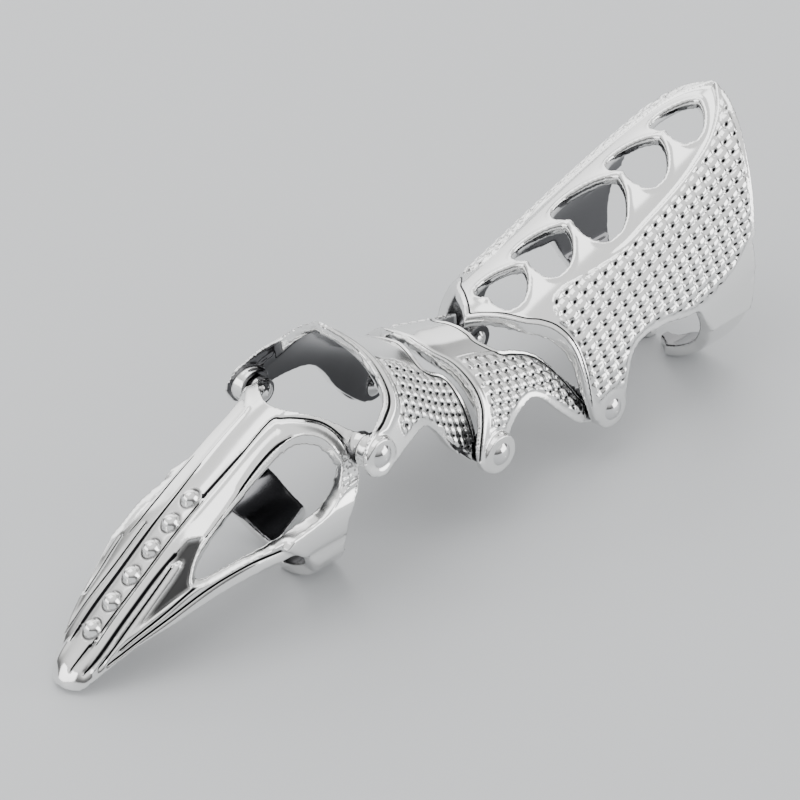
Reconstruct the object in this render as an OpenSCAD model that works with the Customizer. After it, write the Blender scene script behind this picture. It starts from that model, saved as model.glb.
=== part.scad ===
// Jointed full-finger armour ring: claw, two knuckle plates and a base shield on three riveted hinges.
// The finger runs along X with the claw tip at low X, Z is up, and the ring lies on its cuffs and tip.

/* [Castings] */
// Thickness of the cast walls
wall = 1.1; // [1:0.1:1.2]
// Thickness of the two cuffs
cuff_wall = 1.3; // [1.2:0.1:1.5]
// Outer radius of the claw's cuff
claw_cuff_r = 8.7; // [8.5:0.1:8.9]
// Outer radius of the hand cuff
hand_cuff_r = 10.8; // [10.6:0.1:11]
// Length from the claw tip to the tail of the shield
ring_length = 89.9; // [89.5:0.1:90.5]

/* [Hinges] */
// Radius of a rivet shaft
rivet_r = 0.6; // [0.5:0.05:0.7]
// Free play round a rivet shaft
rivet_play = 0.05; // [0.03:0.01:0.08]
// Radius of the domed outer head
head_r = 1.15; // [1:0.05:1.3]
// Height of the domed outer head
head_h = 0.5; // [0.4:0.1:0.7]
// Radius of the peened inner end
tail_r = 1.0; // [0.9:0.05:1.1]
// Height of the peened inner end
tail_h = 0.4; // [0.3:0.1:0.5]
// How much smaller an ear is round than the lug that it turns in
ear_step = 0.4; // [0.3:0.1:0.5]
// Thickness of an ear
ear_wall = 1.1; // [0.9:0.1:1.2]
// Gap between the ear and the lug that it turns in
lug_gap = 0.2; // [0.15:0.05:0.3]

/* [Relief] */
// Radius of a bead on the claw's spine
bead_r = 0.85; // [0.7:0.05:1]
// Number of beads on the claw's spine
bead_count = 6; // [5:1:7]
// Place of the first bead
first_bead_x = 4.3; // [4:0.1:5]
// Distance from bead to bead
bead_pitch = 2.55; // [2.2:0.05:2.8]

/* [Hidden] */
reach = 40;
arch_steps = 10;
span_steps = 2;
edge_steps = 3;
round_fn = 64;
cuff_fn = 96;
bead_fn = 16;
claw_cuff_z = 8.4;
hand_cuff_z = 10.5;
turn_room = 0.35;
seat_room = 0.15;

// Hinges: length along the finger, height, half-width over the ears and over the lugs, radius of the lugs
HX = 0;
HZ = 1;
EAR = 2;
LUG = 3;
LUG_R = 4;
front_hinge = [32.6, 14.1, 7.5, 9.7, 1.8];
middle_hinge = [47.8, 7.0, 8.4, 10.2, 2.0];
rear_hinge = [63.0, 5.0, 9.0, 10.7, 2.1];

// Sections of a casting: length, half-width, height of the ridge, height of the low edge, fullness power
X = 0;
HALF = 1;
TOP = 2;
LOW = 3;
POWER = 4;

// The claw is solid up to this row of its table
claw_solid_to = 3;
claw_rows = [
    [0.0, 1.5, 1.7, 0.0, 1.0],
    [1.0, 2.3, 2.5, 0.6, 1.0],
    [3.0, 3.2, 3.8, 2.0, 0.9],
    [6.0, 4.3, 5.9, 3.7, 0.8],
    [9.5, 5.5, 8.1, 5.0, 0.75],
    [14.0, 6.8, 11.0, 6.6, 0.7],
    [19.0, 7.8, 13.8, 7.4, 0.7],
    [24.0, 8.1, 16.5, 7.2, 0.7],
    [29.0, 8.1, 18.4, 8.0, 0.7],
    [34.0, 8.0, 18.8, 9.0, 0.7]];
front_rows = [
    [29.0, 10.0, 24.6, 12.0, 1.4],
    [33.0, 10.0, 24.5, 12.0, 1.4],
    [37.0, 9.6, 21.6, 11.0, 1.2],
    [40.0, 9.2, 19.4, 9.0, 1.0],
    [43.0, 8.8, 17.6, 6.5, 1.0],
    [46.0, 8.5, 16.2, 5.0, 1.0],
    [50.0, 8.5, 14.8, 5.0, 1.0]];
rear_rows = [
    [43.0, 10.3, 17.6, 4.8, 0.85],
    [45.1, 10.2, 17.2, 4.6, 0.85],
    [48.0, 10.0, 16.2, 4.4, 0.85],
    [52.8, 9.5, 14.8, 4.0, 0.9],
    [58.0, 9.1, 13.6, 3.5, 0.95],
    [65.5, 9.1, 12.4, 3.0, 1.0]];
shield_rows = [
    [52.0, 10.7, 15.1, 4.0, 0.95],
    [58.0, 10.7, 16.9, 4.0, 0.95],
    [66.0, 10.7, 19.3, 6.0, 0.92],
    [74.0, 10.6, 21.8, 8.5, 0.9],
    [82.0, 10.6, 24.3, 10.0, 0.92],
    [92.0, 10.6, 27.4, 11.0, 1.0]];

// A smooth curve through the rows of a table
function span(a, b, c, d, t) = 0.5 * (2 * b + (c - a) * t + (2 * a - 5 * b + 4 * c - d) * t * t
    + (3 * b - 3 * c + d - a) * t * t * t);
function smooth(p, steps) = concat(
    [for (i = [0 : len(p) - 2], j = [0 : steps - 1])
        span(p[max(i - 1, 0)], p[i], p[i + 1], p[min(i + 2, len(p) - 1)], j / steps)],
    [p[len(p) - 1]]);
// A half outline that starts on the middle plane, carried on from one side to the other
function across(p) = concat([for (i = [len(p) - 1 : -1 : 1]) [p[i][0], -p[i][1]]], p);

// One section of a casting, and the room inside it with straight sides below the low edge
function section(row, inset) = [for (i = [-arch_steps : arch_steps]) let (a = i * 90 / arch_steps)
    [row[X], (row[HALF] - inset) * sin(a),
        row[LOW] + (row[TOP] - inset - row[LOW]) * pow(max(cos(a), 0), row[POWER])]];
function room(row, inset) = concat([[row[X], inset - row[HALF], row[LOW] - 5]], section(row, inset),
    [[row[X], row[HALF] - inset, row[LOW] - 5]]);
function moved(row, dx) = [for (i = [0 : len(row) - 1]) i == X ? row[X] + dx : row[i]];
function longer(rows) = concat([moved(rows[0], -1)], rows, [moved(rows[len(rows) - 1], 1)]);

module loft(rings) {
    n = len(rings[0]);
    m = len(rings);
    polyhedron(points = [for (ring = rings, p = ring) p], faces = concat(
        [[for (i = [n - 1 : -1 : 0]) i]],
        [[for (i = [0 : n - 1]) (m - 1) * n + i]],
        [for (k = [0 : m - 2], i = [0 : n - 1]) let (j = (i + 1) % n) each [
            [k * n + i, k * n + j, (k + 1) * n + j],
            [k * n + i, (k + 1) * n + j, (k + 1) * n + i]]]));
}

// An open arched wall through the rows of a table, hollow from the row hollow_from on
module arched_wall(rows, hollow_from = 0) {
    all_rows = smooth(rows, span_steps);
    inner = [for (i = [hollow_from * span_steps : len(all_rows) - 1]) all_rows[i]];
    difference() {
        loft([for (row = all_rows) section(row, 0)]);
        loft([for (row = longer(inner)) room(row, wall)]);
    }
}

// Outlines seen from the side and from above, as endless prisms
module seen_from_side(points) rotate([90, 0, 0]) linear_extrude(2 * reach, center = true) polygon(points);
module seen_from_above(points) linear_extrude(2 * reach, center = true) polygon(points);

// A pair of discs on a hinge axis, one on each side, between two distances from the middle
module disc_pair(hinge, from, to, r) for (side = [-1, 1])
    translate([hinge[HX], side * (from + to) / 2, hinge[HZ]]) rotate([90, 0, 0])
        cylinder(h = to - from, r = r, center = true, $fn = round_fn);
// The bore on a hinge axis, with room for the rivet's tail inside the ear and for its head outside the lug
module bores(hinge) {
    disc_pair(hinge, 0.5, 14, rivet_r + rivet_play);
    disc_pair(hinge, 2, hinge[EAR] - ear_wall, tail_r + seat_room);
    disc_pair(hinge, hinge[LUG], 14, head_r + seat_room);
}
module ears(hinge) disc_pair(hinge, hinge[EAR] - ear_wall, hinge[EAR], hinge[LUG_R] - ear_step);
module lugs(hinge) disc_pair(hinge, hinge[EAR] + lug_gap, hinge[LUG], hinge[LUG_R]);
// Room in a casting for the lugs that close round its ears, and for the ears that turn in its lugs
module lug_room(hinge) disc_pair(hinge, hinge[EAR], 14, hinge[LUG_R] + turn_room);
module ear_room(hinge) disc_pair(hinge, 2, hinge[EAR] + lug_gap, hinge[LUG_R] - ear_step + turn_room);

// A low dome with its flat face on the XY plane
module dome(r, h) {
    ball_r = (r * r + h * h) / (2 * h);
    intersection() {
        translate([0, 0, h - ball_r]) sphere(r = ball_r, $fn = round_fn);
        cylinder(h = h + 1, r = r + 1, $fn = round_fn);
    }
}

module rivet(hinge, side) color("silver") at_origin() translate([hinge[HX], 0, hinge[HZ]])
    rotate([-90 * side, 0, 0]) {
        inner_face = hinge[EAR] - ear_wall - rivet_play;
        translate([0, 0, inner_face]) cylinder(h = hinge[LUG] - inner_face, r = rivet_r, $fn = round_fn);
        translate([0, 0, hinge[LUG]]) dome(head_r, head_h);
        translate([0, 0, inner_face]) mirror([0, 0, 1]) dome(tail_r, tail_h);
    }

module at_origin() translate([-ring_length / 2, 0, 0]) children();

// Half a cuff: a ring round the finger, cut to its side outline and to its free end
module half_cuff(middle_z, r, outline, end) intersection() {
    translate([-1, 0, middle_z]) rotate([0, 90, 0]) difference() {
        cylinder(h = ring_length, r = r, $fn = cuff_fn);
        translate([0, 0, -1]) cylinder(h = ring_length + 2, r = r - cuff_wall, $fn = cuff_fn);
    }
    seen_from_side(outline);
    seen_from_above(end);
    translate([0, -reach, 0]) cube([2 * reach + 20, 2 * reach, reach]);
}

// Claw
claw_rear = [[27.6, 0], [27.9, 1.2], [28.8, 2.8], [30.6, 4.9], [31.9, 6.1], [33.1, 6.9], [33.9, 9]];
claw_side = [[-2, -2], [20, -2], [28.4, 6.5], [29.2, 8.2], [30.4, 10.2], [31.6, 12.4], [34.2, 13.0],
    [34.2, 16.0], [33.2, 30], [-2, 30]];
window_side = [[11.8, 8.0], [13.8, 8.2], [17.3, 9.0], [23.4, 9.6], [26.5, 10.1], [28.6, 11.4], [29.7, 13.4]];
window_plan = [[11.8, 5.6], [13.2, 4.6], [15.2, 4.1], [19.4, 3.8], [23.4, 3.7], [26.0, 3.8], [27.8, 4.5],
    [29.1, 5.8], [29.8, 7.3]];
claw_cuff_near = [[21.0, 8.8], [24.0, 6.2], [26.4, 2.4], [27.2, -1], [32.4, -1], [30.0, 2.4], [28.8, 5.0],
    [29.0, 8.0], [31.4, 12.0], [26.0, 12.0]];
claw_cuff_far = [[21.0, 8.8], [24.6, 6.2], [27.6, 2.4], [28.6, -1], [34.8, -1], [33.4, 4.0], [31.4, 8.0],
    [31.4, 12.0], [26.0, 12.0]];
near_end = [[20, -1.6], [30, -0.4], [33, 0.9], [33, -12], [20, -12]];
far_end = [[20, 0.6], [28.8, 1.5], [40, 5.2], [40, 12], [20, 12]];

module claw() color("silver") at_origin() difference() {
    union() {
        difference() {
            union() {
                intersection() {
                    arched_wall(claw_rows, claw_solid_to);
                    seen_from_side(claw_side);
                    seen_from_above(concat([[-2, -9]], across(claw_rear), [[-2, 9]]));
                }
                half_cuff(claw_cuff_z, claw_cuff_r, claw_cuff_near, near_end);
                half_cuff(claw_cuff_z, claw_cuff_r, claw_cuff_far, far_end);
            }
            lug_room(front_hinge);
        }
        ears(front_hinge);
        for (i = [0 : bead_count - 1]) bead(i);
    }
    for (side = [-1, 1]) intersection() {
        seen_from_side(concat(smooth(window_side, edge_steps), [[30.0, 20], [11.8, 20]]));
        seen_from_above([for (p = concat(smooth(window_plan, edge_steps), [[29.9, 12], [11.8, 12]]))
            [p[0], side * p[1]]]);
    }
    bores(front_hinge);
}
module bead(i) {
    x = first_bead_x + bead_pitch * i;
    z = lookup(x, [for (row = smooth(claw_rows, span_steps)) [row[X], row[TOP]]]);
    translate([x, 0, z]) sphere(r = bead_r, $fn = bead_fn);
}

// Front plate
front_rim = [[34.3, 0], [34.7, 0.9], [35.7, 2.8], [36.0, 4.5], [35.5, 6.9], [33.8, 8.1], [32.1, 8.7],
    [30.5, 9.3], [29.9, 10.5]];
front_back = [[46.6, 10.5], [46.6, 6.5], [46.2, 5.0], [45.4, 4.3], [43.8, 4.0], [43.8, 3.1], [44.1, 1.9],
    [44.6, 0]];
front_low = [[31.0, 12.6], [32.6, 12.1], [34.4, 12.8], [36.5, 13.4], [39.3, 13.6], [41.2, 11.8], [42.7, 9.4],
    [44.7, 7.2], [46.6, 5.6], [47.8, 5.2]];

module front_plate() color("silver") at_origin() difference() {
    union() {
        difference() {
            intersection() {
                arched_wall(front_rows);
                seen_from_side(concat([[28, 30], [28, 15.5], [30.1, 14.3]], smooth(front_low, edge_steps),
                    [[49.4, 6.2], [49.6, 7.6], [48.6, 9.2], [47.6, 11.0], [46.9, 13.5], [46.9, 30]]));
                seen_from_above(plan_outline(front_rim, front_back));
            }
            lug_room(middle_hinge);
            ear_room(front_hinge);
        }
        lugs(front_hinge);
        ears(middle_hinge);
    }
    bores(front_hinge);
    bores(middle_hinge);
}
// A closed outline from above out of the front rim and the rear edge of one half
function plan_outline(front, back) = let (half = concat(smooth(front, edge_steps), smooth(back, edge_steps)))
    concat(half, [for (i = [len(half) - 2 : -1 : 1]) [half[i][0], -half[i][1]]]);

// Rear plate
rear_rim = [[45.1, 0], [45.0, 1.5], [45.4, 3.3], [46.4, 4.8], [46.8, 6.7], [46.6, 8.0], [45.8, 9.0],
    [44.4, 10.0], [44.2, 11]];
rear_back = [[60.0, 8], [57.4, 5.3], [55.2, 4.5], [53.8, 4.3], [53.0, 3.6], [52.4, 2.6], [52.6, 1.5],
    [52.7, 0]];
rear_low = [[44.5, 9.4], [44.7, 8.0], [45.6, 6.0], [47.4, 4.9], [49.0, 6.2], [50.2, 8.4], [53.4, 9.4],
    [55.4, 8.8], [57.3, 6.7], [59.7, 4.2], [61.6, 3.4], [63.0, 3.2]];

module rear_plate() color("silver") at_origin() difference() {
    union() {
        difference() {
            intersection() {
                arched_wall(rear_rows);
                seen_from_side(concat([[42, 30], [42, 9.4]], smooth(rear_low, edge_steps),
                    [[64.6, 4.2], [64.8, 5.6], [63.8, 7.2], [62.4, 9.0], [61.8, 11.0], [61.6, 30]]));
                seen_from_above(plan_outline(rear_rim, concat([[66, 11], [66, 8.6]], rear_back)));
            }
            lug_room(rear_hinge);
            ear_room(middle_hinge);
        }
        lugs(middle_hinge);
        ears(rear_hinge);
    }
    bores(middle_hinge);
    bores(rear_hinge);
}

// Base shield
shield_rim = [[53.2, 0], [54.25, 1.2], [55.5, 2.9], [56.75, 4.7], [58.0, 5.8], [59.0, 7.0], [59.6, 8.6],
    [59.5, 11]];
shield_back = [[84.0, 11], [84.6, 10.1], [85.8, 8.6], [87.3, 6.2], [88.7, 3.6], [89.5, 1.6],
    [ring_length, 0]];
shield_low = [[59.4, 9.0], [59.9, 7.0], [60.7, 4.4], [61.8, 3.0], [63.4, 2.8], [64.6, 4.0], [65.2, 6.7],
    [66.6, 10.0], [70.1, 11.0], [75.9, 10.3], [80.6, 12.0], [84.4, 15.0]];
shield_cuff = [[75.0, 12.0], [75.9, 10.3], [77.6, 7.0], [79.0, 3.4], [79.4, 0.5], [79.4, -1], [82.8, -1],
    [83.2, 3.0], [84.0, 9.0], [84.4, 15.0], [80.0, 14.0]];
shield_end = [[70, 0.6], [90, 0.6], [90, 12], [70, 12]];
// Spade-shaped holes: place of the front notch, length, half-widths on the near and the far side
NOTCH = 0;
LENGTH = 1;
NEAR = 2;
FAR = 3;
hole_rows = [[56.8, 4.6, 2.95, 2.2], [62.3, 5.3, 3.6, 2.4], [68.6, 6.5, 4.55, 3.2], [76.1, 5.1, 3.75, 2.7],
    [82.4, 4.6, 3.05, 2.4]];
spade = [[0, 0], [-0.08, 0.3], [-0.09, 0.62], [0, 0.88], [0.22, 1], [0.46, 0.92], [0.67, 0.7], [0.87, 0.38],
    [1, 0]];
function half_hole(row, half) =
    smooth([for (p = spade) [row[NOTCH] + row[LENGTH] * p[0], half * p[1]]], edge_steps);
function hole_outline(row) = let (far = half_hole(row, row[FAR]), near = half_hole(row, -row[NEAR]))
    concat(far, [for (i = [len(near) - 2 : -1 : 1]) near[i]]);

module base_shield() color("silver") at_origin() difference() {
    union() {
        difference() {
            intersection() {
                arched_wall(shield_rows);
                seen_from_side(concat([[50, 30], [50, 9.0]], smooth(shield_low, edge_steps),
                    [[95, 15.2], [95, 30]]));
                seen_from_above(plan_outline(shield_rim, shield_back));
            }
            ear_room(rear_hinge);
        }
        lugs(rear_hinge);
        for (side = [-1, 1])
            half_cuff(hand_cuff_z, hand_cuff_r, shield_cuff, [for (p = shield_end) [p[0], side * p[1]]]);
    }
    for (row = hole_rows) seen_from_above(hole_outline(row));
    bores(rear_hinge);
}

claw();
front_plate();
rear_plate();
base_shield();
rivet(front_hinge, -1);  // rivet_front_near
rivet(front_hinge, 1);  // rivet_front_far
rivet(middle_hinge, -1);  // rivet_middle_near
rivet(middle_hinge, 1);  // rivet_middle_far
rivet(rear_hinge, -1);  // rivet_rear_near
rivet(rear_hinge, 1);  // rivet_rear_far
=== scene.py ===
"""Looks of the knuckle armor ring: four plated castings on six rivets, lying on a pale floor.

Every casting starts from a merged copy of its own solid. Its edges are tumbled soft, its walls are brought
to the smooth arch that the solid's sections describe, and the cast relief is raised on them. The castings are
worked on in millimetres from the claw's tip. Light and camera are in metres, as the frame is.
"""

import math

import bpy
import numpy as np
from mathutils import Matrix, Vector


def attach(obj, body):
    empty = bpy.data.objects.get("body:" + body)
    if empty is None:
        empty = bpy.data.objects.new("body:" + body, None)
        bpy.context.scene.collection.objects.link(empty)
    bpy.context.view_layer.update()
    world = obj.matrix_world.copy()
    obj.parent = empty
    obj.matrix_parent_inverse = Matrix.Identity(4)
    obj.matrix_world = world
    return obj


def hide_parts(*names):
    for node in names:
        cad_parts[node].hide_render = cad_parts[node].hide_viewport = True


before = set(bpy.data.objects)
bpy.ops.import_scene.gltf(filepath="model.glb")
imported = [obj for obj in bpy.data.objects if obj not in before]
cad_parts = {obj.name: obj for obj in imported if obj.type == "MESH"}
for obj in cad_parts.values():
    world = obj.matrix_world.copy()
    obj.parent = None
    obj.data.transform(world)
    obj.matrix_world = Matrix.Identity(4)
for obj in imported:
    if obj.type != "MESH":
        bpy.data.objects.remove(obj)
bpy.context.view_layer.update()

MM = 0.001
RING_LENGTH = 89.9
WALL = 1.1

bpy.ops.object.select_all(action="DESELECT")


# Measuring on the castings

def smooth_line(points, step=0.15):
    """A smooth line through the points, with a point every step millimetres or so."""
    p = np.array(points, float)
    out = []
    for i in range(len(p) - 1):
        a, b, c, d = p[max(i - 1, 0)], p[i], p[i + 1], p[min(i + 2, len(p) - 1)]
        bend, swing = 2 * a - 5 * b + 4 * c - d, 3 * b - 3 * c + d - a
        count = max(2, int(np.linalg.norm(c - b) / step))
        for t in np.arange(count) / count:
            out.append(0.5 * (2 * b + (c - a) * t + bend * t ** 2 + swing * t ** 3))
    out.append(p[-1])
    return np.array(out)


def ease(value, low, high):
    """0 below low, 1 above high and a soft step between them."""
    t = np.clip((value - low) / (high - low), 0, 1)
    return t * t * (3 - 2 * t)


def beside(points, line, end_room=0.12):
    """Distance from each point to a line of close points, positive on its left, and the nearest's number."""
    best = np.full(len(points), 1e9)
    at = np.zeros(len(points), int)
    for i, q in enumerate(line[:, :2]):
        far = ((points - q) ** 2).sum(1)
        closer = far < best
        best[closer], at[closer] = far[closer], i
    run = np.gradient(line[:, :2], axis=0)[at]
    run /= np.linalg.norm(run, axis=1)[:, None] + 1e-9
    off = points - line[at, :2]
    side = run[:, 0] * off[:, 1] - run[:, 1] * off[:, 0]
    past_end = np.abs((run * off).sum(1)) > end_room
    return np.where(past_end, np.copysign(np.sqrt(best), side), side), at


def nearest(points, line):
    """Distance from each point to a line given by close points."""
    return np.abs(beside(points, line)[0])


# A place across the grooves that is well away from all of them, in half widths
FAR_OFF = 9.0


def grooves(points, *lines):
    """Half widths from each point to the nearest groove of (along, round, half width), signed by side."""
    best = np.full(len(points), FAR_OFF)
    for line in map(smooth_line, lines):
        off, at = beside(points, line)
        off = off / line[at, 2]
        best = np.where(np.abs(off) < np.abs(best), off, best)
    return np.clip(best, -FAR_OFF, FAR_OFF)


def within(outline, points):
    """Whether each point lies inside a closed outline."""
    x, y = points[:, 0], points[:, 1]
    inside = np.zeros(len(points), bool)
    for (x0, y0), (x1, y1) in zip(outline, outline[1:] + outline[:1]):
        crosses = (y0 > y) != (y1 > y)
        inside ^= crosses & (x < x0 + (y - y0) * (x1 - x0) / (y1 - y0 + 1e-12))
    return inside


def ridge(distance, width):
    """1 on a line and falling softly to 0 at that width each side."""
    return np.exp(-(distance / (0.5 * width)) ** 2)


class Arch:
    """The smooth outer face of a casting, from rows of (along, half width, top, low edge, fullness power)."""

    STEPS_ALONG = 160
    STEPS_ROUND = 121

    def __init__(self, rows):
        self.rows = smooth_line(rows, 0.05)
        x = self.rows[:, 0]
        self.grid_x = np.linspace(x[0], x[-1], self.STEPS_ALONG)
        self.grid_a = np.radians(np.linspace(0, 90, self.STEPS_ROUND))
        y, z = self.on(self.grid_x[:, None], self.grid_a[None, :])
        step = np.hypot(np.diff(y, axis=1), np.diff(z, axis=1))
        self.arc = np.concatenate([np.zeros((len(y), 1)), np.cumsum(step, axis=1)], axis=1)

    def row(self, x):
        """Half width, top, low edge and power at that place along."""
        return [np.interp(x, self.rows[:, 0], self.rows[:, i]) for i in (1, 2, 3, 4)]

    def on(self, x, a):
        """Out from the middle and up, at the angle a from the crown."""
        half, top, low, power = self.row(x)
        return half * np.sin(a), low + (top - low) * np.maximum(np.cos(a), 0) ** power

    def level(self, p, inset=0.0):
        """0 on the face, negative inside it and positive outside."""
        half, top, low, power = self.row(p[:, 0])
        s = p[:, 1] / (half - inset)
        c = np.maximum((p[:, 2] - low) / (top - inset - low), 0) ** (1 / power)
        return np.hypot(s, c) - 1

    def distance(self, p, inset=0.0):
        """Distance outside the face, and the way out of it."""
        h = 0.02
        here = self.level(p, inset)
        rise = [self.level(p + d, inset) - self.level(p - d, inset) for d in np.eye(3) * h]
        slope = np.stack(rise, 1) / (2 * h)
        size = np.linalg.norm(slope, axis=1) + 1e-9
        return here / size, slope / size[:, None]

    def angle(self, p):
        """Angle from the crown."""
        half, top, low, power = self.row(p[:, 0])
        c = np.maximum((p[:, 2] - low) / (top - low), 0) ** (1 / power)
        return np.arctan2(np.abs(p[:, 1]) / half, c)

    def around(self, p):
        """Distance round the face from the crown."""
        last_i, last_j = len(self.grid_x) - 1.001, len(self.grid_a) - 1.001
        i = np.clip(np.interp(p[:, 0], self.grid_x, np.arange(len(self.grid_x))), 0, last_i)
        j = np.clip(self.angle(p) / self.grid_a[1], 0, last_j)
        i0, j0 = i.astype(int), j.astype(int)
        u, v = i - i0, j - j0
        above = self.arc[i0, j0] * (1 - u) + self.arc[i0 + 1, j0] * u
        below = self.arc[i0, j0 + 1] * (1 - u) + self.arc[i0 + 1, j0 + 1] * u
        return above * (1 - v) + below * v

    def from_above(self, outline):
        """A line drawn in plan, as (along, round the face)."""
        q = smooth_line(outline)
        half, top, low, power = self.row(q[:, 0])
        c = np.sqrt(np.maximum(1 - (q[:, 1] / half) ** 2, 0))
        p = np.stack([q[:, 0], q[:, 1], low + (top - low) * c ** power], 1)
        return np.stack([q[:, 0], self.around(p) * np.sign(q[:, 1] + 1e-9)], 1)

    def from_side(self, outline):
        """A line drawn in side view, as (along, round the face)."""
        q = smooth_line(outline)
        half, top, low, power = self.row(q[:, 0])
        c = np.clip((q[:, 1] - low) / (top - low), 0, 1) ** (1 / power)
        p = np.stack([q[:, 0], half * np.sqrt(1 - c ** 2), q[:, 1]], 1)
        return np.stack([q[:, 0], self.around(p)], 1)


# Sections of the castings, as (along, half width, top, low edge, fullness power)

CLAW_ROWS = [(0, 1.5, 1.7, 0, 1), (1, 2.3, 2.5, 0.6, 1), (3, 3.2, 3.8, 2, 0.9), (6, 4.3, 5.9, 3.7, 0.8),
             (9.5, 5.5, 8.1, 5, 0.75), (14, 6.8, 11, 6.6, 0.7), (19, 7.8, 13.8, 7.4, 0.7),
             (24, 8.1, 16.5, 7.2, 0.7), (29, 8.1, 18.4, 8, 0.7), (34, 8, 18.8, 9, 0.7)]
FRONT_ROWS = [(29, 10, 24.6, 12, 1.4), (33, 10, 24.5, 12, 1.4), (37, 9.6, 21.6, 11, 1.2),
              (40, 9.2, 19.4, 9, 1), (43, 8.8, 17.6, 6.5, 1), (46, 8.5, 16.2, 5, 1), (50, 8.5, 14.8, 5, 1)]
REAR_ROWS = [(43, 10.3, 17.6, 4.8, 0.85), (45.1, 10.2, 17.2, 4.6, 0.85), (48, 10, 16.2, 4.4, 0.85),
             (52.8, 9.5, 14.8, 4, 0.9), (58, 9.1, 13.6, 3.5, 0.95), (65.5, 9.1, 12.4, 3, 1)]
SHIELD_ROWS = [(52, 10.7, 15.1, 4, 0.95), (58, 10.7, 16.9, 4, 0.95), (66, 10.7, 19.3, 6, 0.92),
               (74, 10.6, 21.8, 8.5, 0.9), (82, 10.6, 24.3, 10, 0.92), (92, 10.6, 27.4, 11, 1)]

# Edges of the plates and the shield: RIM in front, BACK behind and FIELD, the scales' upper border, are seen
# from above, as (along, out from the middle). LOW is seen from the side, as (along, height).

FRONT_RIM = [(34.3, 0), (34.7, 0.9), (35.7, 2.8), (36, 4.5), (35.5, 6.9), (33.8, 8.1), (32.1, 8.7),
             (30.5, 9.3), (29.9, 9.95)]
FRONT_BACK = [(46.6, 8.4), (46.6, 6.5), (46.2, 5), (45.4, 4.3), (43.8, 4), (43.8, 3.1), (44.1, 1.9),
              (44.6, 0)]
FRONT_LOW = [(31, 12.6), (32.6, 12.1), (34.4, 12.8), (36.5, 13.4), (39.3, 13.6), (41.2, 11.8), (42.7, 9.4),
             (44.7, 7.2), (46.6, 5.6)]
FRONT_FIELD = [(36, 3.8), (38.7, 3.7), (40.4, 3.5), (41.5, 3.8), (42.6, 4.15), (43.8, 4.4)]

REAR_RIM = [(45.1, 0), (45, 1.5), (45.4, 3.3), (46.4, 4.8), (46.8, 6.7), (46.6, 8), (45.8, 9), (44.4, 10)]
REAR_BACK = [(61, 8.6), (60, 8), (57.4, 5.3), (55.2, 4.5), (53.8, 4.3), (53, 3.6), (52.4, 2.6), (52.6, 1.5),
             (52.7, 0)]
REAR_LOW = [(44.5, 9.4), (44.7, 8), (45.6, 6), (47.4, 4.9), (49, 6.2), (50.2, 8.4), (53.4, 9.4), (55.4, 8.8),
            (57.3, 6.7), (59.7, 4.2)]
REAR_FIELD = [(46, 4.4), (49.85, 4.1), (52.4, 4.3), (54.8, 4.5), (60, 4.7)]

SHIELD_RIM = [(53.2, 0), (54.25, 1.2), (55.5, 2.9), (56.75, 4.7), (58, 5.8), (59, 7), (59.6, 8.6),
              (59.5, 10.6)]
SHIELD_BACK = [(84, 10.6), (84.6, 10.1), (85.8, 8.6), (87.3, 6.2), (88.7, 3.6), (89.5, 1.6), (89.9, 0)]
SHIELD_LOW = [(59.4, 9), (59.9, 7), (60.7, 4.4), (61.8, 3), (63.4, 2.8), (64.6, 4), (65.2, 6.7), (66.6, 10),
              (70.1, 11), (75.9, 10.3), (80.6, 12), (84.4, 15)]
SHIELD_FIELD = [(58.6, 8.5), (59.4, 6.6), (60.45, 4.9), (62.2, 4.5), (64.3, 4.9), (67, 5.4), (70.25, 5.8),
                (73, 5.7), (77.9, 5.4), (81.4, 4.9), (84.5, 4.1), (87.4, 2.5), (89.6, 0.2)]

# Pierced holes of the shield, as (notch, length, half width on the near side, on the far side), and their
# outline as (part of the length, part of the half width)
HOLES = [(56.8, 4.6, 2.95, 2.2), (62.3, 5.3, 3.6, 2.4), (68.6, 6.5, 4.55, 3.2), (76.1, 5.1, 3.75, 2.7),
         (82.4, 4.6, 3.05, 2.4)]
SPADE = [(0, 0), (-0.08, 0.3), (-0.09, 0.62), (0, 0.88), (0.22, 1), (0.46, 0.92), (0.67, 0.7), (0.87, 0.38),
         (1, 0)]

# Side windows of the claw: their lower edge as (along, height), their upper edge from above
WINDOW_SIDE = [(11.8, 8), (13.8, 8.2), (17.3, 9), (23.4, 9.6), (26.5, 10.1), (28.6, 11.4), (29.7, 13.4)]
WINDOW_PLAN = [(11.8, 5.6), (13.2, 4.6), (15.2, 4.1), (19.4, 3.8), (23.4, 3.7), (26, 3.8), (27.8, 4.5),
               (29.1, 5.8), (29.8, 7.3)]

# Raised lines of the claw and the recess before its window, which gets painted shade, as (along, round the
# face from the spine)
FRAME_RIDGE = [(0.6, 1.5), (5, 1.6), (13, 1.65), (19, 1.75), (25.6, 1.8), (26.8, 2.5), (27.9, 3.7),
               (29.2, 5.3), (30.1, 7.2), (30.5, 9.2)]
FLANK_RIDGES = [[(2.2, 2.7), (6, 2.85), (11.8, 2.85)], [(3.4, 3.3), (6, 3.55), (9, 3.5), (12.2, 3.4)]]
RAIL_RIDGE = [(3.2, 2.8), (5, 3.7), (8, 4.7), (12.2, 6.45), (15.2, 7.95), (18.7, 9.5), (21.7, 10.75),
              (24.5, 11.7), (27.4, 12.2), (29.5, 11.8)]
RECESS = [(6, 3.95), (9, 3.8), (12.2, 3.65), (12.1, 3.1), (11, 2.75), (12.4, 2.45), (14, 2.55), (14.7, 3.1),
          (15.2, 3.8), (14, 4.3), (12.9, 4.8), (12.1, 5.4), (11.8, 6.0), (10, 5.3), (8, 4.6)]

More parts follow.
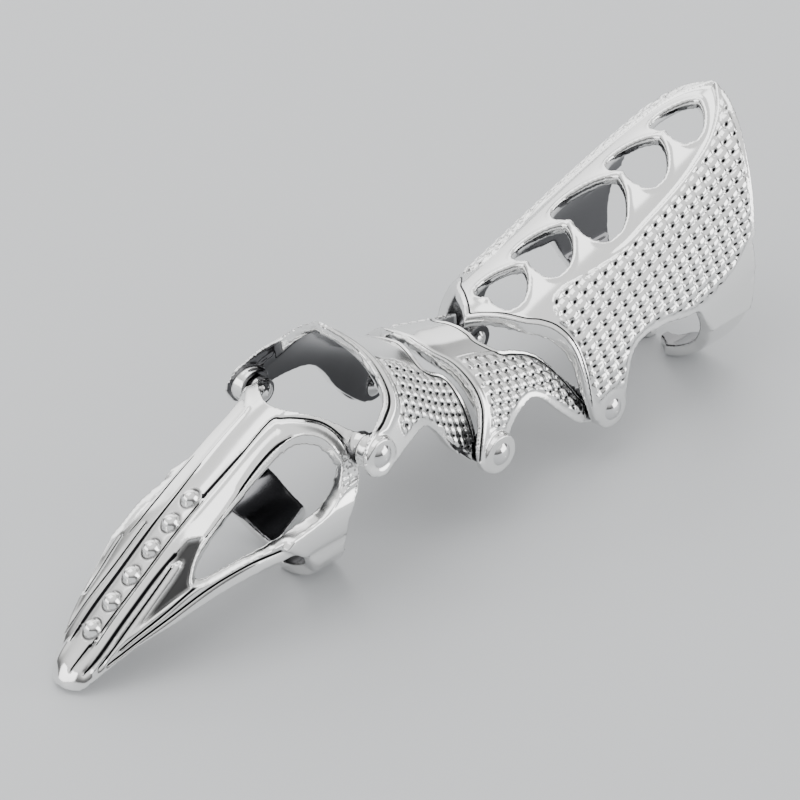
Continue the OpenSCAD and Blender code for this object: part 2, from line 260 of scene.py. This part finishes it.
# Grooves of the claw, as (along, round the face towards the near side, half width)
SPINE_FAR = [(2.8, -1.45, 0.06), (4.4, -1.52, 0.24), (11, -1.6, 0.24), (15, -1.62, 0.14), (20, -1.65, 0.07)]
SPINE_NEAR = [(0.9, 0.72, 0.08), (3, 0.8, 0.14), (4.5, 1.0, 0.11), (17, 1.1, 0.1), (18, 1.0, 0.18),
              (22, 1.3, 0.16), (23.2, 1.35, 0.1), (26.3, 1.25, 0.1), (27.2, 1.95, 0.1), (28.4, 3.3, 0.11),
              (29.8, 5.0, 0.11), (30.7, 7.0, 0.11), (31.2, 9.2, 0.09)]
SPINE_FINE = [(3.6, 1.5, 0.07), (10, 1.42, 0.07), (17.4, 1.38, 0.06)]
FLANK_DEEP = [(1.5, 2.1, 0.08), (3.2, 2.32, 0.2), (6, 2.35, 0.22), (10, 2.3, 0.22), (12.6, 2.5, 0.2)]
FLANK_FINE = [(2.6, 2.95, 0.07), (5.2, 3.16, 0.1), (11.6, 3.1, 0.09)]
FRINGE = [(15.4, 3.95, 0.06), (19.4, 3.72, 0.08), (20.5, 3.55, 0.14), (23, 3.4, 0.16), (25, 3.5, 0.16),
          (26.6, 4.0, 0.08)]
RAIL_HIGH = [(4.6, 3.75, 0.08), (8, 4.95, 0.11), (12.4, 6.3, 0.14), (15.2, 7.6, 0.14), (20.1, 9.85, 0.1)]
RAIL_REAR = [(23.6, 11.1, 0.1), (25.2, 11.6, 0.14), (27.4, 11.9, 0.1)]
RAIL_LOW = [(3.3, 3.6, 0.08), (6, 4.8, 0.12), (12.2, 7.15, 0.13), (17.4, 9.45, 0.13), (22.6, 12.2, 0.12),
            (28.3, 13.5, 0.12), (29.8, 13.1, 0.08)]
FAR_SOFT = [(3.5, -3.1, 0.1), (9, -2.75, 0.14), (13.5, -2.65, 0.1)]
FAR_LOW = [(7, -4.1, 0.1), (10, -4.5, 0.16), (12, -4.6, 0.1)]
FAR_FRAME = [(12.6, -3.6, 0.08), (14, -3.45, 0.14), (18, -3.5, 0.12), (20.5, -3.4, 0.07)]

# Beads on the spine: first place, pitch, number, how far their feet reach and how wide the shadow there is
BEADS = (4.3, 2.55, 6, 0.88, 0.3)
# How far the deeper grooves sink the face, and over how many half widths
SINK, SINK_SPREAD = 0.14, 2.2
# How deep the bevel of the window's frame leans in, on the near and on the far side
BEVEL_NEAR, BEVEL_FAR = 0.3, 0.08
# The recess: how deep, how wide its soft edge and how dark its painted shade is
RECESS_DEEP, RECESS_EDGE, RECESS_SHADE = 0.4, 0.45, 0.95
# The size of the fine scales on the frame's rear corner
PATCH_SCALE = 0.8

# Rims and dips that follow an edge, as (distance from it, how high, how wide)
FRONT_RIM_BANDS = [(0.25, 0.16, 0.5), (0.8, -0.16, 0.45), (1.3, 0.12, 0.5)]
REAR_RIM_BANDS = [(0.25, 0.16, 0.5), (0.75, -0.14, 0.4)]
SHIELD_RIM_BANDS = [(0.25, 0.15, 0.5)]
SHIELD_BACK_BANDS = [(0.25, 0.1, 0.5)]
THIN_BACK_BANDS = [(0.2, 0.12, 0.4)]
HOLE_BANDS = [(0.3, 0.1, 0.5)]

# Hinges, as (along, height, radius of the lugs)
HINGES = {"front": (32.6, 14.1, 1.8), "middle": (47.8, 7.0, 2.0), "rear": (63.0, 5.0, 2.1)}


# Relief of each casting. The points p lie at the distance t round the face from its crown. Each relief gives
# how high it stands there, how much painted shade its recesses get, the place across up to three grooves, in
# half widths, and the place in the field of scales, in scales, with how much of the field shows there.

def raised_line(points, line, high, wide):
    """A soft ridge along a line."""
    return high * ridge(nearest(points, smooth_line(line)), wide)


def bands(distance, rows):
    """The rims and dips that follow an edge."""
    return sum(high * ridge(distance - place, wide) for place, high, wide in rows)


def grooves_beside(*rows):
    """The place across up to three grooves, from (distance from an edge, groove's place, half width) each."""
    lines = [(distance - place) / half for distance, place, half in rows]
    none = np.full(len(lines[0]), FAR_OFF)
    return np.stack(lines + [none] * (3 - len(lines)), 1)


def claw_relief(arch, p, t):
    """Strip along the spine, bevelled frame round each window, ridges at the tip and a grooved rail below."""
    x, near = p[:, 0], p[:, 1] < 0
    q = np.stack([x, t], 1)
    signed = np.stack([x, np.where(near, t, -t)], 1)
    lines = np.stack([grooves(signed, SPINE_FAR, SPINE_NEAR, FLANK_FINE, RAIL_LOW, FAR_LOW),
                      grooves(signed, FLANK_DEEP, FRINGE, RAIL_HIGH, RAIL_REAR, FAR_SOFT),
                      grooves(signed, SPINE_FINE, FAR_FRAME)], 1)
    # The two deeper sets of grooves sink the face too, on the far side only up to the window's middle
    sunk = np.exp(-(lines[:, :2] / SINK_SPREAD) ** 2).max(1)
    height = -SINK * sunk * np.where(near, 1, ease(-x, -20.5, -16))
    height += raised_line(q, FRAME_RIDGE, high=0.1, wide=0.6) * ease(x, 0.5, 2)
    for line in FLANK_RIDGES:
        height += raised_line(signed, line, high=0.18, wide=0.5)
    # The frame's bevel leans in from its ridge to the window, less on the far side
    window = np.minimum(nearest(q, arch.from_side(WINDOW_SIDE)), nearest(q, arch.from_above(WINDOW_PLAN)))
    frame_top = nearest(q, smooth_line(FRAME_RIDGE))
    rail = np.interp(x, *np.array(RAIL_RIDGE).T)
    bevel = ease(x, 14.2, 16.5) * ease(t, 1.6, 1.8) * ease(rail - t, 0, 0.2)
    height -= np.where(near, BEVEL_NEAR, BEVEL_FAR) * bevel * frame_top / (frame_top + window + 0.05)
    recess_edge = nearest(signed, smooth_line(RECESS + RECESS[:1]))
    hollow = within(RECESS, signed) * ease(recess_edge, 0.0, RECESS_EDGE)
    height -= RECESS_DEEP * hollow
    height += raised_line(q, RAIL_RIDGE, high=0.14, wide=0.5) * ease(x, 2.6, 5)
    first, pitch, number, foot, shadow = BEADS
    feet = [np.abs(np.hypot(x - first - pitch * i, p[:, 1]) - foot) for i in range(number)]
    # Painted shade: dark in the recess before the window and in a ring at the foot of each bead
    painted_shade = np.maximum(RECESS_SHADE * hollow, ridge(np.min(feet, axis=0), shadow))
    # A small faint patch of fine scales at the frame's rear corner
    patch = 0.6 * ease(x, 28.4, 29) * ease(t, 8.4, 9) * ease(-t, -12.6, -12)
    lay = np.stack([x / PATCH_SCALE, t / PATCH_SCALE, patch], 1)
    return height, painted_shade, lines, lay


def scales(lay, lean):
    """Height, 0 to 1, of low round scales with one in each unit cell, each row shifted by the lean."""
    reach = 0.58
    best = np.zeros(len(lay))
    row = np.round(lay[:, 1])
    for dr in (-1, 0, 1):
        down = lay[:, 1] - row - dr
        across = lay[:, 0] + lean * down
        across = across - np.round(across)
        best = np.maximum(best, 1 - (np.hypot(across, down) / reach) ** 2)
    return np.sqrt(best)


def scaled_field(arch, p, t, outlines, cell, lean, raised, band):
    """Field of scales below its border line, kept clear of the smooth bands along the edges."""
    rim, back, low, field = outlines
    q = np.stack([p[:, 0], t], 1)
    edge = nearest(q, arch.from_above(rim))
    rear = nearest(q, arch.from_above(back))
    low, line = arch.from_side(low), arch.from_above(field)
    foot, border = nearest(q, low), nearest(q, line)
    inside = (t > np.interp(p[:, 0], *line.T, left=99)) & (t < np.interp(p[:, 0], *low.T))
    mask = inside * ease(edge, band, band + 0.3) * ease(rear, 0.6, 0.9)
    mask = mask * ease(foot, 0.7, 1.0) * ease(border, 0.15, 0.4)
    lay = np.stack([p[:, 0] / cell[0] - lean * t / cell[1], t / cell[1], mask], 1)
    return raised * scales(lay, lean) * mask, edge, rear, border, lay


def front_relief(arch, p, t):
    """Double front rim, thin rear rim, smooth back and a fine field of scales."""
    outlines = FRONT_RIM, FRONT_BACK, FRONT_LOW, FRONT_FIELD
    height, edge, rear, border, lay = scaled_field(
        arch, p, t, outlines, cell=(0.93, 1.1), lean=0.0, raised=0.2, band=1.9)
    height += bands(edge, FRONT_RIM_BANDS) + bands(rear, THIN_BACK_BANDS)
    height += 0.08 * ridge(border, 0.35) * ease(edge, 1.6, 2.2)
    lines = grooves_beside((edge, 0.8, 0.14), (rear, 0.55, 0.09))
    return height, np.zeros(len(p)), lines, lay


def rear_relief(arch, p, t):
    """Beaked front rim, thin rear rim, smooth back and a field of round scales."""
    outlines = REAR_RIM, REAR_BACK, REAR_LOW, REAR_FIELD
    height, edge, rear, border, lay = scaled_field(
        arch, p, t, outlines, cell=(1.2, 1.05), lean=0.5, raised=0.2, band=1.6)
    height += bands(edge, REAR_RIM_BANDS) + bands(rear, THIN_BACK_BANDS)
    height += 0.08 * ridge(border, 0.35) * ease(edge, 1.4, 2)
    lines = grooves_beside((edge, 0.75, 0.13), (rear, 0.55, 0.09))
    return height, np.zeros(len(p)), lines, lay


def shield_relief(arch, p, t):
    """Rolled rims, thin raised rims round the pierced holes and coarse scales below a raised border."""
    outlines = SHIELD_RIM, SHIELD_BACK, SHIELD_LOW, SHIELD_FIELD
    height, edge, rear, border, lay = scaled_field(
        arch, p, t, outlines, cell=(1.45, 1.25), lean=0.06, raised=0.3, band=0.9)
    height += bands(edge, SHIELD_RIM_BANDS) + bands(rear, SHIELD_BACK_BANDS)
    height += 0.28 * ridge(border, 0.5) * ease(p[:, 0], 67, 72)
    q = np.stack([p[:, 0], t * np.sign(p[:, 1])], 1)
    for notch, length, near, far in HOLES:
        half = [(notch + length * x, y) for x, y in SPADE]
        hole = arch.from_above([(x, far * y) for x, y in half] + [(x, -near * y) for x, y in half[-2::-1]])
        height += bands(nearest(q, hole), HOLE_BANDS)
    return height, np.zeros(len(p)), grooves_beside((edge, 0.62, 0.08)), lay


# Making a casting

TO_MM = Matrix.Translation((RING_LENGTH / 2, 0, 0)) @ Matrix.Scale(1 / MM, 4)
WELD = 0.0005
# A point is on a face where it looks out squarely enough and lies close enough to it
SQUARELY = (0.8, 0.96)
CLOSE = (0.3, 0.5)
# Round the hinges the lugs, ears and bores keep the solid's own shape
HINGE_ROOM = (0.1, 0.6)
# The plain faces get half the polish where the relief fades out, and all of it where there is none
POLISH = ((0.7, 0.5), (0.2, 1.0))


def cast_skin(node, grain):
    """One solid in millimetres from the tip, as a skin of even grain with its edges tumbled soft."""
    piece = bpy.data.objects.new(node + "_cast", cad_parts[node].data.copy())
    bpy.context.scene.collection.objects.link(piece)
    piece.data.materials.clear()
    piece.data.transform(TO_MM)
    bpy.context.view_layer.objects.active = piece
    piece.select_set(True)
    bpy.ops.object.mode_set(mode="EDIT")
    bpy.ops.mesh.select_all(action="SELECT")
    bpy.ops.mesh.remove_doubles(threshold=WELD)
    bpy.ops.object.mode_set(mode="OBJECT")
    skin = piece.modifiers.new("cast skin", "REMESH")
    skin.mode, skin.voxel_size, skin.adaptivity = "VOXEL", grain, 0
    bpy.ops.object.modifier_apply(modifier=skin.name)
    tumble = piece.modifiers.new("tumbled edges", "SMOOTH")
    tumble.factor, tumble.iterations = 0.5, 4
    bpy.ops.object.modifier_apply(modifier=tumble.name)
    return piece


def rows_of(items, key):
    """A vector of each item, as rows."""
    flat = np.empty(len(items) * 3, np.float32)
    items.foreach_get(key, flat)
    return flat.reshape(-1, 3).astype(float)


def on_face(n, way, off):
    """How surely points that look along n lie on a face, with the way out of it and their distance off it."""
    return ease((n * way).sum(1), *SQUARELY) * (1 - ease(np.abs(off), *CLOSE))


def round_tip(p, reach=1.2, middle=0.85):
    """The claw's blunt end drawn in to a round one."""
    left = np.clip((reach - p[:, 0]) / (reach + 0.1), 0, 1)
    drawn = np.sqrt(1 - left ** 2)
    p = p.copy()
    p[:, 1] *= drawn
    p[:, 2] = middle + (p[:, 2] - middle) * drawn
    p[:, 2] = np.maximum(p[:, 2], 0)
    return p


def mark(mesh, name, values):
    """Keeps a number, or a row of three, with each point of the mesh."""
    kind, key = ("FLOAT_VECTOR", "vector") if values.ndim == 2 else ("FLOAT", "value")
    layer = mesh.attributes.new(name, kind, "POINT")
    layer.data.foreach_set(key, values.astype(np.float32).ravel())


def polish_plain(piece, outer):
    """Smooths the faces that carry no relief."""
    plain = piece.vertex_groups.new(name="plain")
    for most, weight in POLISH:
        plain.add(np.flatnonzero(outer < most).tolist(), weight, "REPLACE")
    polish = piece.modifiers.new("polished inside", "SMOOTH")
    polish.vertex_group, polish.factor, polish.iterations = plain.name, 0.5, 6
    bpy.ops.object.modifier_apply(modifier=polish.name)


def casting(node, rows, relief, grain, hinges, body, finish):
    """A soft-edged cast and polished copy of one solid, with its relief.

    Its points also carry what the finish needs, in step with the relief: the painted shade of recesses and,
    in "inside", of the inward faces, each from 0 to 1, "lines" with the place across the grooves, shown where
    "near" is 1, and "lay" with the place in the field.
    """
    arch = Arch(rows)
    piece = cast_skin(node, grain)
    mesh = piece.data
    p, n = rows_of(mesh.vertices, "co"), rows_of(mesh.vertex_normals, "vector")
    clear = np.ones(len(p))
    for x, z, r in (HINGES[name] for name in hinges):
        clear *= ease(np.hypot(p[:, 0] - x, p[:, 2] - z), r + HINGE_ROOM[0], r + HINGE_ROOM[1])

    # Both walls are brought to the arch
    off, way = arch.distance(p)
    outer = clear * on_face(n, way, off)
    p -= way * (off * outer)[:, None]
    off_in, way_in = arch.distance(p, WALL)
    inner = clear * on_face(n, -way_in, off_in) * (1 - outer)
    p -= way_in * (off_in * inner)[:, None]
    if node == "claw":
        p = round_tip(p)

    face = outer > 0.01
    height, painted_shade, lines, lay = relief(arch, p[face], arch.around(p[face]))
    shown = outer[face]
    p[face] += way[face] * (height * shown)[:, None]
    mesh.vertices.foreach_set("co", p.astype(np.float32).ravel())

    lay[:, 2] *= shown
    near = ease(-np.abs(lines), -4, -3) * shown[:, None]
    for name, values in {"painted_shade": painted_shade * shown, "lines": lines, "near": near, "lay": lay}.items():
        whole = np.zeros((len(p),) + values.shape[1:])
        whole[face] = values
        mark(mesh, name, whole)
    # Painted shade on the faces that look in towards the ring's middle
    _, top, low, _ = arch.row(p[:, 0])
    spoke = np.stack([0 * p[:, 0], p[:, 1], p[:, 2] - 0.75 * low - 0.25 * top], 1)
    facing_in = -(n * spoke).sum(1) / np.linalg.norm(spoke, axis=1)
    mark(mesh, "inside", ease(facing_in, 0.2, 0.7) * (1 - outer))

    polish_plain(piece, outer)
    mesh.transform(TO_MM.inverted())
    mesh.update()
    bpy.ops.object.shade_smooth()
    piece.select_set(False)
    piece.data.materials.append(finish)
    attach(piece, body)
    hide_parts(node)


# Finishes

def colour(hex_code):
    """An sRGB colour as Blender's linear red, green, blue and alpha."""
    parts = [int(hex_code[i:i + 2], 16) / 255 for i in (1, 3, 5)]
    return [c / 12.92 if c <= 0.04045 else ((c + 0.055) / 1.055) ** 2.4 for c in parts] + [1.0]


def add_node(tree, kind, settings=None, inputs=None, output=0):
    """Adds a shader node and returns one of its outputs. Its inputs are values or other nodes' outputs."""
    node = tree.nodes.new(kind)
    for key, value in (settings or {}).items():
        setattr(node, key, value)
    for key, value in (inputs or {}).items():
        if isinstance(value, bpy.types.NodeSocket):
            tree.links.new(value, node.inputs[key])
        else:
            node.inputs[key].default_value = value
    return node.outputs[output] if node.outputs else None


def empty_tree(owner):
    """The node tree of a new material or world, with nothing in it."""
    owner.use_nodes = True
    owner.node_tree.nodes.clear()
    return owner.node_tree


def to_nearest(tree, lay, lean, aside):
    """Distance, in scales, to the nearest point that lies so far aside from a scale's middle."""
    place = add_node(tree, "ShaderNodeVectorMath", {"operation": "SUBTRACT"}, {0: lay, 1: aside})
    along = add_node(tree, "ShaderNodeSeparateXYZ", {}, {0: place}, "X")
    round_ = add_node(tree, "ShaderNodeSeparateXYZ", {}, {0: place}, "Y")
    level = add_node(tree, "ShaderNodeMath", {"operation": "WRAP"}, {0: round_, 1: 0.5, 2: -0.5})
    best = FAR_OFF
    for row in (-1, 0, 1) if lean else (0,):
        down = add_node(tree, "ShaderNodeMath", {"operation": "SUBTRACT"}, {0: level, 1: row})
        slid = add_node(tree, "ShaderNodeMath", {"operation": "MULTIPLY_ADD"}, {0: down, 1: lean, 2: along})
        across = add_node(tree, "ShaderNodeMath", {"operation": "WRAP"}, {0: slid, 1: 0.5, 2: -0.5})
        both = add_node(tree, "ShaderNodeCombineXYZ", {}, {"X": across, "Y": down})
        reach = add_node(tree, "ShaderNodeVectorMath", {"operation": "LENGTH"}, {0: both}, "Value")
        best = add_node(tree, "ShaderNodeMath", {"operation": "MINIMUM"}, {0: reach, 1: best})
    return best


# Painted shade: the insides of the castings are greyer, and the grooves, pits and recesses nearly black.
# The low places are also rougher, as polish doesn't reach them.
INSIDE_SHADE = "#606062"
SHADOW = "#0E0E10"
# A groove's painted shade is darkest up to this many half widths and ends at that many
GROOVE_SHADE = (0.6, 1.3)
# Round spots on each scale, as (place from its middle, full up to, gone from), in scales. The crown raises
# the scale; the pit, off to one side of its foot, is painted shade and is sunk a little.
CROWN_SPOT = ((0, 0, 0), 0.15, 0.5)
PIT_SHADE_SPOT = ((-0.36, 0.42, 0), 0.08, 0.21)
# Clouds in the polish about 3 mm across and a waver about 1.5 mm across, as coarse as they need to be to show
CLOUDS_PER_MM = 0.35
WAVES_PER_MM = 0.7
# Heights in millimetres: the plating's waver, the scales' crowns and the grooves
WAVER, CROWN, SUNK = 0.005, 0.06, -0.05


def plated(name, metal, roughness, lean=0.0):
    """Bright plating over cast zinc: a nearly clean mirror that wavers a little, dull where low, with painted
    shade in its low places and on its insides.
    """
    material = bpy.data.materials.new(name)
    tree = empty_tree(material)
    place = add_node(tree, "ShaderNodeTexCoord", output="Object")
    painted_shade, inside = [add_node(tree, "ShaderNodeAttribute", {"attribute_name": k}, output="Fac")
                      for k in ("painted_shade", "inside")]
    lines, near, lay = [add_node(tree, "ShaderNodeAttribute", {"attribute_name": k}, output="Vector")
                        for k in ("lines", "near", "lay")]

    # Painted shade in the thin grooves, crisp between the points of the mesh
    off = add_node(tree, "ShaderNodeVectorMath", {"operation": "ABSOLUTE"}, {0: lines})
    thin = add_node(tree, "ShaderNodeMapRange",
                    {"data_type": "FLOAT_VECTOR", "interpolation_type": "SMOOTHSTEP"},
                    {"Vector": off, "From Min": GROOVE_SHADE[:1] * 3, "From Max": GROOVE_SHADE[1:] * 3,
                     "To Min": (1, 1, 1), "To Max": (0, 0, 0)}, "Vector")
    line = add_node(tree, "ShaderNodeVectorMath", {"operation": "DOT_PRODUCT"}, {0: thin, 1: near}, "Value")

    # Round scales, with painted shade in a slightly sunk pit on one side of the foot of each
    field = add_node(tree, "ShaderNodeSeparateXYZ", {}, {0: lay}, "Z")
    dome, pit_shade = [add_node(tree, "ShaderNodeMapRange", {"interpolation_type": "SMOOTHSTEP"},
                          {"Value": to_nearest(tree, lay, lean, aside), "From Min": full, "From Max": gone,
                           "To Min": field, "To Max": 0.0})
                 for aside, full, gone in (CROWN_SPOT, PIT_SHADE_SPOT)]
    # Grooves, pits and recesses together take the painted shade, more roughness and a little sinking
    low = add_node(tree, "ShaderNodeMath", {"operation": "MAXIMUM"}, {0: line, 1: pit_shade})
    low = add_node(tree, "ShaderNodeMath", {"operation": "MAXIMUM", "use_clamp": True}, {0: low, 1: painted_shade})

    skin = add_node(tree, "ShaderNodeMix", {"data_type": "RGBA"},
                    {"Factor": inside, "A": colour(metal), "B": colour(INSIDE_SHADE)}, "Result")
    tone = add_node(tree, "ShaderNodeMix", {"data_type": "RGBA"},
                    {"Factor": low, "A": skin, "B": colour(SHADOW)}, "Result")
    cloud = add_node(tree, "ShaderNodeTexNoise", {},
                     {"Vector": place, "Scale": CLOUDS_PER_MM / MM, "Detail": 3.0})
    sheen = add_node(tree, "ShaderNodeMapRange", {},
                     {"Value": cloud, "To Min": roughness - 0.03, "To Max": roughness + 0.04})
    rough = add_node(tree, "ShaderNodeMath", {"operation": "MULTIPLY_ADD"}, {0: low, 1: 0.4, 2: sheen})
    wave = add_node(tree, "ShaderNodeTexNoise", {},
                    {"Vector": place, "Scale": WAVES_PER_MM / MM, "Detail": 2.0})
    height = add_node(tree, "ShaderNodeMath", {"operation": "MULTIPLY"}, {0: wave, 1: WAVER})
    for part, high in ((dome, CROWN), (low, SUNK)):
        height = add_node(tree, "ShaderNodeMath", {"operation": "MULTIPLY_ADD"},
                          {0: part, 1: high, 2: height})
    relief = add_node(tree, "ShaderNodeBump", {}, {"Height": height, "Distance": MM})
    shader = add_node(tree, "ShaderNodeBsdfPrincipled", {},
                      {"Metallic": 1.0, "Base Color": tone, "Roughness": rough, "Normal": relief})
    add_node(tree, "ShaderNodeOutputMaterial", {}, {"Surface": shader})
    return material


PLATED_CASTING = plated("bright plated zinc casting", "#F2F2F1", 0.13)
PLATED_SCALES = plated("bright plated zinc casting, staggered scales", "#F2F2F1", 0.13, lean=0.5)
PLATED_RIVET = plated("bright plated rivet", "#E6E6E6", 0.12)

casting("claw", CLAW_ROWS, claw_relief, 0.15, ["front"], "tip", PLATED_CASTING)
casting("front_plate", FRONT_ROWS, front_relief, 0.12, ["front", "middle"], "front", PLATED_CASTING)
casting("rear_plate", REAR_ROWS, rear_relief, 0.12, ["middle", "rear"], "rear", PLATED_SCALES)
casting("base_shield", SHIELD_ROWS, shield_relief, 0.19, ["rear"], "base", PLATED_CASTING)

for name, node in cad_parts.items():
    if name.startswith("rivet"):
        node.data.materials.clear()
        node.data.materials.append(PLATED_RIVET)


# Floor, light and camera

def floor_finish():
    """Matt pale grey board, a little soft in its sheen."""
    material = bpy.data.materials.new("matt pale board")
    tree = empty_tree(material)
    shader = add_node(tree, "ShaderNodeBsdfPrincipled", {},
                      {"Base Color": colour("#BFC1C3"), "Roughness": 0.55})
    add_node(tree, "ShaderNodeOutputMaterial", {}, {"Surface": shader})
    return material


bpy.ops.mesh.primitive_plane_add(size=3.0, location=(0, 0, 0))
floor = bpy.context.active_object
floor.name = "floor"
floor.data.materials.append(floor_finish())
floor.select_set(False)


def soft_light(name, place, aim, wide, tall, power):
    """A soft box that points at aim."""
    light = bpy.data.lights.new(name, "AREA")
    light.shape = "RECTANGLE"
    light.size, light.size_y = wide, tall
    light.energy = power
    box = bpy.data.objects.new(name, light)
    box.location = place
    box.rotation_mode = "QUATERNION"
    box.rotation_quaternion = (Vector(aim) - Vector(place)).to_track_quat("-Z", "Y")
    bpy.context.scene.collection.objects.link(box)


soft_light("far box", (0.50, 0.85, 0.42), aim=(0, 0, 0.01), wide=1.3, tall=0.84, power=6.5)
soft_light("right box", (0.60, -0.80, 0.26), aim=(0, 0, 0.01), wide=0.9, tall=0.52, power=6.5)
soft_light("left box", (-0.85, 0.35, 0.27), aim=(0, 0, 0.01), wide=1.1, tall=0.5, power=5.0)
soft_light("overhead box", (0.0, 0.25, 0.95), aim=(0, 0, 0), wide=0.8, tall=0.8, power=4.0)


def studio_room():
    """A room that is bright overhead and dark grey all round, so that the plating has something to mirror."""
    world = bpy.data.worlds.new("studio room")
    tree = empty_tree(world)
    way = add_node(tree, "ShaderNodeTexCoord", output="Generated")
    height = add_node(tree, "ShaderNodeSeparateXYZ", {}, {0: way}, "Z")
    glow = add_node(tree, "ShaderNodeMapRange", {"interpolation_type": "SMOOTHSTEP"},
                    {"Value": height, "From Min": 0.05, "From Max": 0.75, "To Min": 0.12, "To Max": 1.3})
    back = add_node(tree, "ShaderNodeBackground", {}, {"Color": (1, 1, 1, 1), "Strength": glow})
    add_node(tree, "ShaderNodeOutputWorld", {}, {"Surface": back})
    bpy.context.scene.world = world


studio_room()


def photo_camera():
    """The camera that was fitted to the photograph, from angles in degrees and places in millimetres."""
    azimuth, elevation, roll = map(math.radians, (-43.453, 33.412, -2.123))
    aim = Vector((46.782 - RING_LENGTH / 2, 2.666, 8.0)) * MM
    distance = 391.08 * MM
    level = math.cos(elevation)
    back = Vector((math.sin(azimuth) * level, -math.cos(azimuth) * level, math.sin(elevation)))
    right = Vector((0, 0, 1)).cross(back).normalized()
    up = back.cross(right)
    turned_right = right * math.cos(roll) + up * math.sin(roll)
    turned_up = up * math.cos(roll) - right * math.sin(roll)
    data = bpy.data.cameras.new("photo camera")
    data.lens, data.sensor_width = 180.0, 36.0
    data.clip_start, data.clip_end = 0.02, 10.0
    camera = bpy.data.objects.new("photo camera", data)
    turn = Matrix((turned_right, turned_up, back)).transposed().to_4x4()
    camera.matrix_world = Matrix.Translation(aim + back * distance) @ turn
    bpy.context.scene.collection.objects.link(camera)
    bpy.context.scene.camera = camera


photo_camera()
